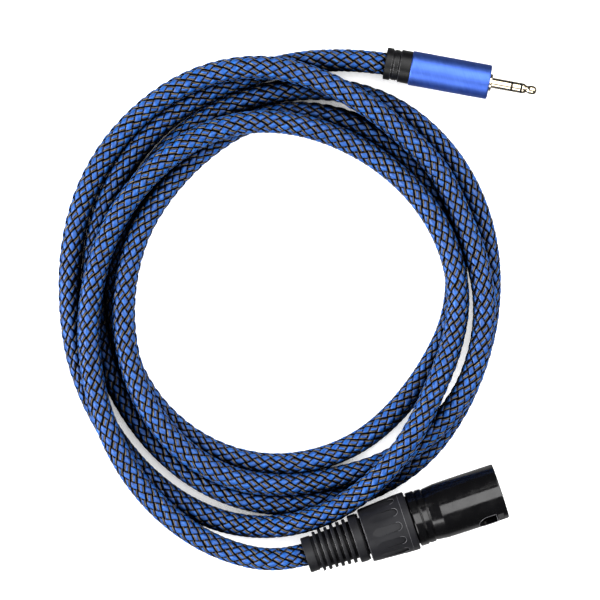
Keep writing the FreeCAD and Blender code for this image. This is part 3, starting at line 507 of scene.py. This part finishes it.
def plastic(name, dark, light, rough, grain, grain_size, specular=0.5, edge=0.10):
    """Moulded plastic: soft mottling, fine grain, rubbed spots, and painted shade in grooves and pockets."""
    s = Shader(name)
    at = s.coords()
    mottle = s.noise(at, 90.0, 4.0, 0.6)
    fine = s.noise(at, grain_size, 2.0, 0.5)
    colour = s.ramp(mottle, [(0.32, dark), (0.72, light)])
    # painted shade: an AO node darkens the bottoms of grooves and pockets and lowers their gloss
    painted_light_level = s.remap(s.painted_shade_occlusion(2.5 * MM), 0.30, 0.78, 0.12, 1.0)
    s.join(s.shade(colour, painted_light_level, (0.0005, 0.0005, 0.0006, 1)), s.bsdf.inputs["Base Color"])
    s.join(s.math("MULTIPLY", painted_light_level, specular), s.bsdf.inputs["Specular IOR Level"])
    wear = s.noise(at, 240.0, 5.0, 0.65)
    s.join(s.remap(wear, 0.35, 0.7, rough - 0.05, rough + 0.07), s.bsdf.inputs["Roughness"])
    s.join(s.bump(fine, grain * MM, 0.6, s.edges(edge * MM)), s.bsdf.inputs["Normal"])
    return s.m


def metal(name, dark, light, rough, axis_turn=0.0, streaks=2600.0, depth=0.004):
    """Turned metal: streaks round the axis and small changes of tone."""
    s = Shader(name)
    at = s.coords(rotation=(0, 0, axis_turn), scale=(1, 0.06, 0.06))
    rings = s.noise(at, streaks, 2.0, 0.5)
    blot = s.noise(s.coords(), 160.0, 3.0, 0.6)
    tone = s.math("ADD", s.math("MULTIPLY", rings, 0.5), s.math("MULTIPLY", blot, 0.5))
    s.join(s.ramp(tone, [(0.3, dark), (0.7, light)]), s.bsdf.inputs["Base Color"])
    s.join(s.remap(rings, 0.3, 0.7, rough - 0.04, rough + 0.06), s.bsdf.inputs["Roughness"])
    s.join(s.bump(rings, depth * MM, 0.5, s.edges(0.08 * MM)), s.bsdf.inputs["Normal"])
    s.set(Metallic=1.0)
    return s.m


PLUG_TURN = math.radians(28.80)  # turns the plug's axis on to X

SHELL = plastic("shell_black", linear(3, 3, 4), linear(6, 6, 8), 0.15, 0.022, 1000.0, 0.60, 0.2)
NUT = plastic("nut_satin", linear(20, 20, 23), linear(30, 30, 33), 0.38, 0.016, 2200.0, 0.25, 0.12)
BOOT = plastic("boot_rubber", linear(15, 15, 18), linear(25, 25, 28), 0.40, 0.012, 2200.0, 0.34, 0.06)
# the next two, for the thin raised lines along edges, are lighter than the black plastic: a painted highlight, on
# lines that also catch real gloss
LIP_HIGHLIGHT = plastic("lip_painted_highlight", linear(58, 58, 62), linear(80, 80, 84), 0.30, 0.004, 2600.0, 0.8, 0.05)
GROOVE_EDGE_HIGHLIGHT = plastic("edge_painted_highlight", linear(34, 34, 37), linear(58, 58, 62), 0.22, 0.004, 2600.0, 1.0, 0.03)
INSERT = plastic("insert_plastic", linear(14, 14, 15), linear(24, 24, 25), 0.4, 0.006, 2600.0)
CHUCK = plastic("chuck_plastic", linear(188, 186, 178), linear(208, 206, 199), 0.42, 0.006, 2600.0)
LINER = plastic("liner_plastic", linear(20, 20, 22), linear(32, 32, 34), 0.45, 0.006, 2600.0)
COLLAR = plastic("collar_plastic", linear(8, 8, 9), linear(15, 15, 17), 0.36, 0.022, 1700.0, 0.24, 0.10)
INSULATOR = plastic("insulator_black", linear(4, 4, 4), linear(8, 8, 8), 0.3, 0.004, 4000.0, 0.15, 0.02)
RED = plastic("core_red", linear(150, 24, 20), linear(178, 38, 30), 0.42, 0.005, 3000.0)
WHITE = plastic("core_white", linear(205, 204, 198), linear(225, 224, 219), 0.42, 0.005, 3000.0)
PINS = metal("contact_plate", linear(196, 176, 128), linear(226, 208, 160), 0.22)
COPPER = metal("shield_copper", linear(176, 112, 76), linear(204, 138, 98), 0.38)
PLATE = metal("plug_plate", linear(206, 190, 158), linear(232, 220, 194), 0.11, PLUG_TURN, 3000.0, 0.001)
BARREL = metal("barrel_blue", linear(64, 95, 184), linear(80, 114, 204), 0.46, PLUG_TURN, 2400.0, 0.006)

FINISH = {
    "xlr_boot": BOOT, "xlr_nut": NUT, "xlr_shell": SHELL, "xlr_insert": INSERT,
    "xlr_pin_ground": PINS, "xlr_pin_hot": PINS, "xlr_pin_cold": PINS, "xlr_chuck": CHUCK,
    "xlr_wire_shield": COPPER, "xlr_wire_hot": RED, "xlr_wire_cold": WHITE,
    "plug_wire_shield": COPPER, "plug_wire_tip": RED, "plug_wire_ring": WHITE,
    "plug_collar": COLLAR, "plug_barrel": BARREL, "plug_liner": LINER,
    "plug_sleeve": PLATE, "plug_ring": PLATE, "plug_tip": PLATE,
    "plug_insulator_rear": INSULATOR, "plug_insulator_front": INSULATOR,
    "xlr_cable_end": DARK_CORE_AND_PAINTED_SHADE, "plug_cable_end": DARK_CORE_AND_PAINTED_SHADE,
}
for node, material in FINISH.items():
    for slot in bpy.data.objects[node].material_slots:
        slot.material = material

# ------------------------------------------------------------------ moulded edges, as raised lines lighter than their plastic: painted highlight
AXIS_Y, AXIS_Z, REAR_X = -78.9, 10.1, -34.4  # the round connector's axis and rear face, mm


def on_connector(s, beta, level, across=0.0):
    """A point s mm in front of the rear face, at an angle beta from the top,
    level mm out from the axis and across mm round it."""
    up = (math.cos(beta), -math.sin(beta))
    side = (-math.sin(beta), -math.cos(beta))
    z = AXIS_Z + level * up[0] + across * side[0]
    y = AXIS_Y + level * up[1] + across * side[1]
    return ((REAR_X + s) * MM, y * MM, z * MM)


def bead(name, runs, radius, body, material):
    """A thin raised line along each run of points, closed or open."""
    data = bpy.data.curves.new(name, "CURVE")
    data.dimensions = "3D"
    data.bevel_depth = radius * MM
    data.bevel_resolution = 2
    for points, closed in runs:
        line = data.splines.new("POLY")
        line.points.add(len(points) - 1)
        for point, co in zip(line.points, points):
            point.co = (*co, 1.0)
        line.use_cyclic_u = closed
    shape = link(bpy.data.objects.new(name + "_line", data))
    bpy.context.view_layer.update()
    mesh = bpy.data.meshes.new_from_object(
        shape.evaluated_get(bpy.context.evaluated_depsgraph_get())
    )
    mesh.name = name
    bpy.data.objects.remove(shape)
    mesh.materials.clear()
    mesh.materials.append(material)
    mesh.polygons.foreach_set("use_smooth", np.ones(len(mesh.polygons), dtype=bool))
    obj = link(bpy.data.objects.new(name, mesh))
    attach(obj, body)
    return obj


# the lip round the latch window: round at the back, straight at the front
def window_point(s, across):
    angle = math.radians(65.0) + across / 9.5
    return on_connector(s, angle, 9.49)


outline = [(65.3, -3.3), (64.5, -3.3), (63.3, -3.3)]
outline += [
    (62.2 - 3.3 * math.cos(t), 3.3 * math.sin(t))
    for t in np.linspace(-math.pi / 2, math.pi / 2, 25)
]
outline += [(63.3, 3.3), (64.5, 3.3), (65.3, 3.3)]
outline += [(65.3, w) for w in np.linspace(2.6, -2.6, 9)]
# the lip is lighter than the shell: a painted highlight on a raised edge that also catches real gloss
bead("xlr_window_lip", [([window_point(s, w) for s, w in outline], True)], 0.12, "cable",
     LIP_HIGHLIGHT)

# the lips at the front ends of the nut's twelve finger grips, and its front band
lips = []
for k in range(12):
    beta = math.radians(30.0 * k)
    points = []
    for t in np.linspace(-1.75, 1.75, 21):
        s, w = 32.6 + 1.47 * math.cos(t), 1.47 * math.sin(t)
        skin = np.interp(s, (29.2, 33.8, 35.4), (9.75, 10.0, 10.1))
        points.append(on_connector(s, beta, math.sqrt(skin * skin - w * w) - 0.02, w))
    lips.append((points, False))
ring = np.arange(96) * 2 * math.pi / 96
lips.append(([on_connector(35.45, t, 10.07) for t in ring], True))
lips.append(([on_connector(21.45, t, 9.14) for t in ring], True))
# these lips and bands are lighter than the nut: a painted highlight on raised edges that also catch real gloss
bead("xlr_nut_lips", lips, 0.085, "nut", LIP_HIGHLIGHT)

# the edges of the boot's ribs, as raised lines lighter than the rubber: a painted highlight on real edges
ribs = [
    ([on_connector(s, t, level) for t in ring], True)
    for s, level in ((4.42, 6.84), (6.45, 7.05), (8.65, 7.05), (10.75, 7.35), (12.95, 7.45), (15.15, 7.65), (17.45, 8.2))
]
bead("xlr_boot_ribs", ribs, 0.075, "boot", GROOVE_EDGE_HIGHLIGHT)

# the edges of the moulded collar's grooves, as raised lines lighter than the collar: a painted highlight on real edges
COLLAR_REAR = (43.7, 70.5, 5.85)
PLUG_WAY = (math.cos(math.radians(-28.8)), math.sin(math.radians(-28.8)))


def on_plug(t, beta, level):
    """A point t mm in front of the collar's rear face and level mm out from
    the plug's axis, at an angle beta from the top."""
    out = level * math.sin(beta)
    return (
        (COLLAR_REAR[0] + t * PLUG_WAY[0] - out * PLUG_WAY[1]) * MM,
        (COLLAR_REAR[1] + t * PLUG_WAY[1] + out * PLUG_WAY[0]) * MM,
        (COLLAR_REAR[2] + level * math.cos(beta)) * MM,
    )


rings = [
    ([on_plug(t, beta, level) for beta in ring], True)
    for t, level in ((2.18, 5.37), (3.0, 5.12), (4.4, 5.12), (5.08, 5.46))
]
bead("plug_collar_edges", rings, 0.075, "collar", GROOVE_EDGE_HIGHLIGHT)

# ------------------------------------------------------------------ floor and light
floor_mat = Shader("floor")
floor_noise = floor_mat.noise(floor_mat.coords(), 6.0, 2.0, 0.5)
# painted shade: in the narrow gaps under and between the strands an AO node darkens the floor's colour and dims its
# glow
floor_painted_light_level = floor_mat.remap(floor_mat.painted_shade_occlusion(6.0 * MM), 0.13, 0.30, 0.0, 1.0)
floor_tone = floor_mat.ramp(floor_noise, [(0.3, (0.87, 0.87, 0.87, 1)), (0.7, (0.90, 0.90, 0.90, 1))])
floor_mat.join(
    floor_mat.shade(floor_tone, floor_painted_light_level, (0.05, 0.05, 0.055, 1)),
    floor_mat.bsdf.inputs["Base Color"],
)
floor_mat.join(floor_mat.math("MULTIPLY", floor_painted_light_level, 0.55), floor_mat.bsdf.inputs["Emission Strength"])
floor_mat.set(Emission_Color=(1, 1, 1, 1))
floor_mat.set(Roughness=0.9, Specular_IOR_Level=0.1)
me = bpy.data.meshes.new("floor")
E = 4.0
me.from_pydata([(-E, -E, -0.0002), (E, -E, -0.0002), (E, E, -0.0002), (-E, E, -0.0002)], [], [(0, 1, 2, 3)])
me.materials.append(floor_mat.m)
floor = link(bpy.data.objects.new("floor", me))
floor.visible_glossy = False  # polished faces show the dark studio, not the paper
floor.visible_shadow = False  # a lit sheet: it takes no light from what lies on it

world = bpy.data.worlds.new("world")
scene.world = world
world.use_nodes = True
wn = world.node_tree
background = wn.nodes["Background"]
background.inputs[1].default_value = 1.0
direction = wn.nodes.new("ShaderNodeTexCoord")
split = wn.nodes.new("ShaderNodeSeparateXYZ")
level = wn.nodes.new("ShaderNodeMapRange")
level.inputs["From Min"].default_value = -1.0
level.inputs["From Max"].default_value = 1.0
sky = wn.nodes.new("ShaderNodeValToRGB")
wn.links.new(direction.outputs["Generated"], split.inputs[0])
wn.links.new(split.outputs["Z"], level.inputs[0])
wn.links.new(level.outputs[0], sky.inputs[0])
wn.links.new(sky.outputs[0], background.inputs[0])
# grey below, dark at the level of the table, dim above it
while len(sky.color_ramp.elements) < 4:
    sky.color_ramp.elements.new(0.5)
for element, (z, tone) in zip(
    sky.color_ramp.elements, [(-0.62, 0.40), (-0.40, 0.07), (0.05, 0.06), (0.5, 0.08)]
):
    element.position = (z + 1.0) / 2.0
    element.color = (tone, tone, tone, 1)


def area(name, place, aim, width, height, power, colour=(1, 1, 1)):
    data = bpy.data.lights.new(name, "AREA")
    data.shape = "RECTANGLE"
    data.size = width
    data.size_y = height
    data.energy = power
    data.color = colour
    obj = link(bpy.data.objects.new(name, data))
    obj.location = place
    d = np.array(aim) - np.array(place)
    from mathutils import Vector
    obj.rotation_euler = Vector(d).to_track_quat("-Z", "Y").to_euler()
    return obj


def spot(right, up, z):
    """A place given by the image's right and up, in metres from the coil's middle."""
    return (
        AIM[0] + right * RIGHT[0] + up * UP[0],
        AIM[1] + right * RIGHT[1] + up * UP[1],
        z,
    )


def softbox(name, azimuth, zenith, distance, width, height, radiance):
    """A soft box that faces the coil, at an angle from the image's right and
    an angle from straight up."""
    a, z = math.radians(azimuth), math.radians(zenith)
    place = spot(
        distance * math.sin(z) * math.cos(a),
        distance * math.sin(z) * math.sin(a),
        distance * math.cos(z),
    )
    power = radiance * math.pi * width * height
    obj = area(name, place, (AIM[0], AIM[1], 0), width, height, power)
    # its width lies level, square to the line from the coil to the box
    obj.rotation_euler = (z, 0.0, a + TURN + math.pi / 2)
    return obj


softbox("key", 17.0, 28.6, 2.05, 1.66, 2.5, 3.7)
softbox("back", 66.0, 42.0, 1.7, 1.04, 0.97, 5.0)
softbox("front", -112.0, 50.0, 1.7, 1.2, 0.95, 4.2)
softbox("left", 187.0, 61.0, 1.7, 1.6, 0.8, 14.0)
softbox("right", 3.0, 66.0, 1.8, 1.4, 0.8, 1.5)
